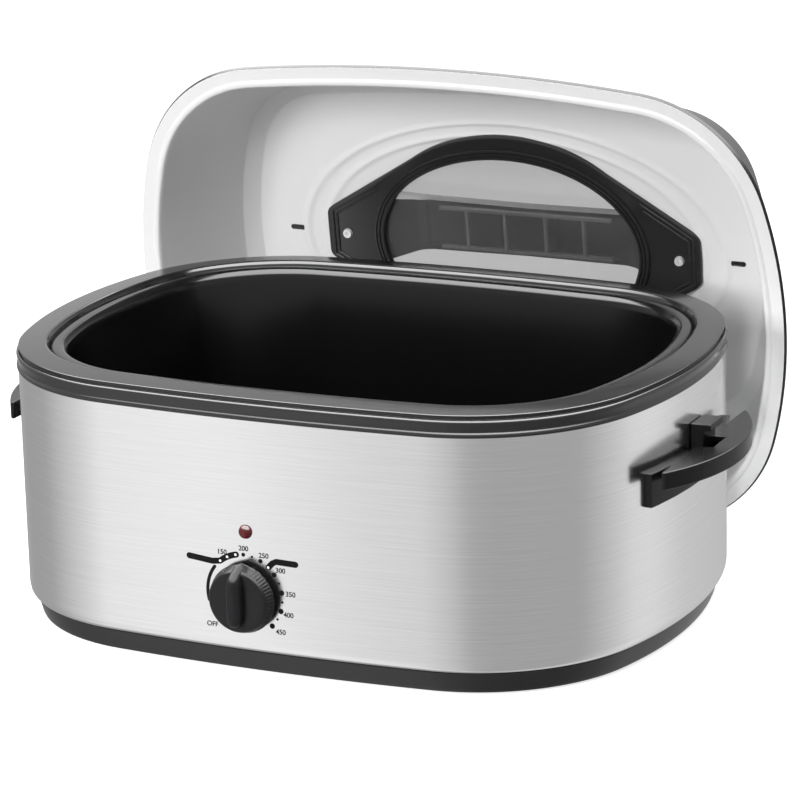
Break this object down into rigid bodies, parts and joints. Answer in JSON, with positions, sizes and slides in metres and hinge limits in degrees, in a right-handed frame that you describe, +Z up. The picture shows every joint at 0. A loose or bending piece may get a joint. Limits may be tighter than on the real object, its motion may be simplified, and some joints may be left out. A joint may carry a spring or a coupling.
{
  "type": "electric roaster oven",
  "caption": "Countertop electric roaster: steel-walled heated body with dial and side handles, lift-out enamel pan, and a loose domed lid with window standing behind it.",
  "frame": {"origin": "middle of the steel wall's footprint, on the counter under the rubber feet", "axes": "+Z up, -Y the front with the dial, +X to the right along the long axis"},
  "size_m": [0.5885, 0.558, 0.3772],
  "materials": {
    "brushed_wall": "brushed lengthwise",
    "black_base": "satin",
    "zinc_sheet": "plain galvanised sheet",
    "foot_rubber": "matte",
    "zinc_fastener": "zinc plated",
    "charcoal_rim": "satin charcoal",
    "well_sheet": "plain sheet",
    "glass_fibre": "soft wool",
    "band_mica": "mica and braid",
    "ceramic_body": "matte ceramic",
    "black_knob": "satin",
    "red_lens": "clear red",
    "grey_moulding": "matte",
    "black_handle": "satin",
    "lead_sleeve": "woven sleeve",
    "pan_enamel": "black enamel, semi-matt",
    "lid_sheet": "light matt inside, black outside",
    "seal_silicone": "matte",
    "window_pane": "clear",
    "frame_plastic": "satin",
    "bright_screw": "polished"
  },
  "bodies": {
    "body": {"outer_shell": "brushed_wall", "base_ring": "black_base", "bottom_plate": "zinc_sheet", "feet": "foot_rubber", "base_screws": "zinc_fastener", "rim_ring": "charcoal_rim", "heat_well": "well_sheet", "well_studs": "zinc_fastener", "insulation_blanket": "glass_fibre", "heating_band": "band_mica", "band_clamps": "zinc_sheet", "element_terminals": "zinc_fastener", "control_heat_shield": "zinc_sheet", "thermostat": "ceramic_body", "thermostat_bracket": "zinc_sheet", "shaft_nut": "zinc_fastener", "pilot_lamp_lens": "red_lens", "pilot_lamp_body": "grey_moulding", "right_handle": "black_handle", "left_handle": "black_handle", "right_handle_bracket": "black_handle", "left_handle_bracket": "black_handle", "right_lid_rest": "black_handle", "left_lid_rest": "black_handle", "handle_screws": "zinc_fastener", "cord_inlet": "foot_rubber", "terminal_block": "ceramic_body", "internal_leads": "lead_sleeve"},
    "knob": {"control_knob": "black_knob", "thermostat_shaft": "zinc_fastener"},
    "pan": {"roasting_pan": "pan_enamel"},
    "lid": {"lid_shell": "lid_sheet", "window_gasket": "seal_silicone", "window_glass": "window_pane", "window_frame": "frame_plastic", "lid_handle": "frame_plastic", "lid_screws": "bright_screw"}
  },
  "joints": [
    {"name": "knob_turn", "type": "hinge", "parent": "body", "child": "knob", "pos_m": [-0.0105, -0.2, 0.061], "axis": [0, -1, 0], "range_deg": [-135, 135]},
    {"name": "pan_lift", "type": "slide", "parent": "body", "child": "pan", "axis": [0, 0, 1], "range_m": [0, 0.14]},
    {"name": "lid_lift", "type": "slide", "parent": "body", "child": "lid", "axis": [0, 0, 1], "range_m": [0, 0.43]}
  ]
}
